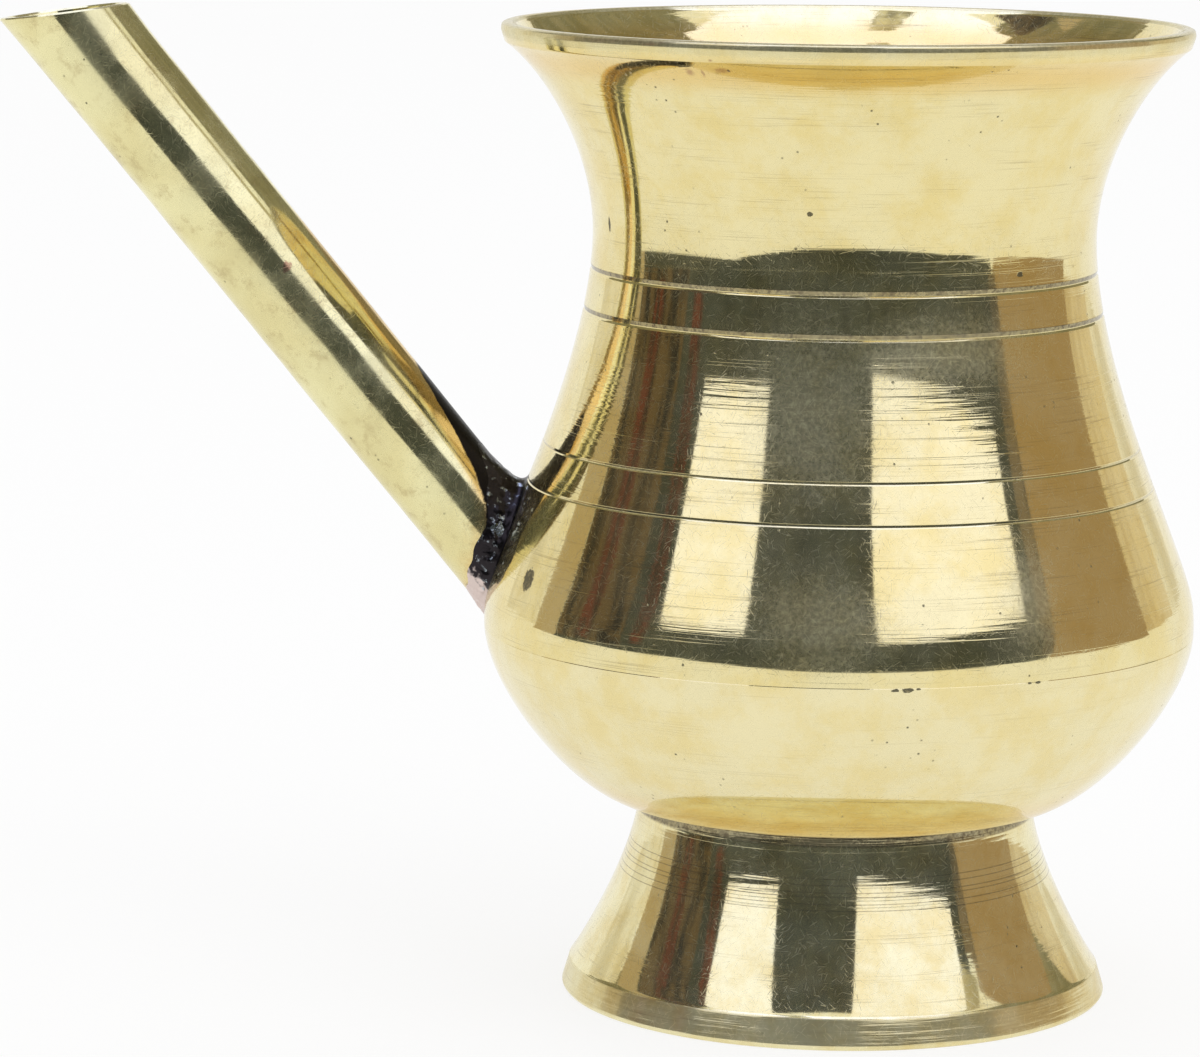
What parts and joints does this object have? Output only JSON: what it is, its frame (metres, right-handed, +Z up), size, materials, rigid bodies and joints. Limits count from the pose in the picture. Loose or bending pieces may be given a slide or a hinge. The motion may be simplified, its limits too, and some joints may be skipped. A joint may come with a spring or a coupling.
{
  "type": "spouted lota",
  "caption": "Small turned brass water pot with a flared rim, waisted neck, round belly, hollow flared foot and a straight slanted tube spout for pouring ritual water.",
  "frame": {"origin": "on the surface that the vessel stands on, under the middle of its plan outline, spout included; the turned axis is upright at x = +25.08 mm, y = 0", "axes": "+Z up along the turned axis, -X the way the spout leans, Y across the spout"},
  "size_m": [0.1232, 0.0732, 0.1013],
  "materials": {
    "body": "turned and mirror polished, fine turning marks",
    "foot": "turned and polished, coarser turning marks",
    "spout": "polished tube, scratched along its length",
    "braze": "lumpy braze with dark heat stain"
  },
  "bodies": {
    "root": {"upper_body": "body", "lower_bowl": "body", "belly_braze": "body", "foot": "foot", "foot_braze": "braze", "spout_tube": "spout", "spout_braze": "braze"}
  },
  "joints": []
}
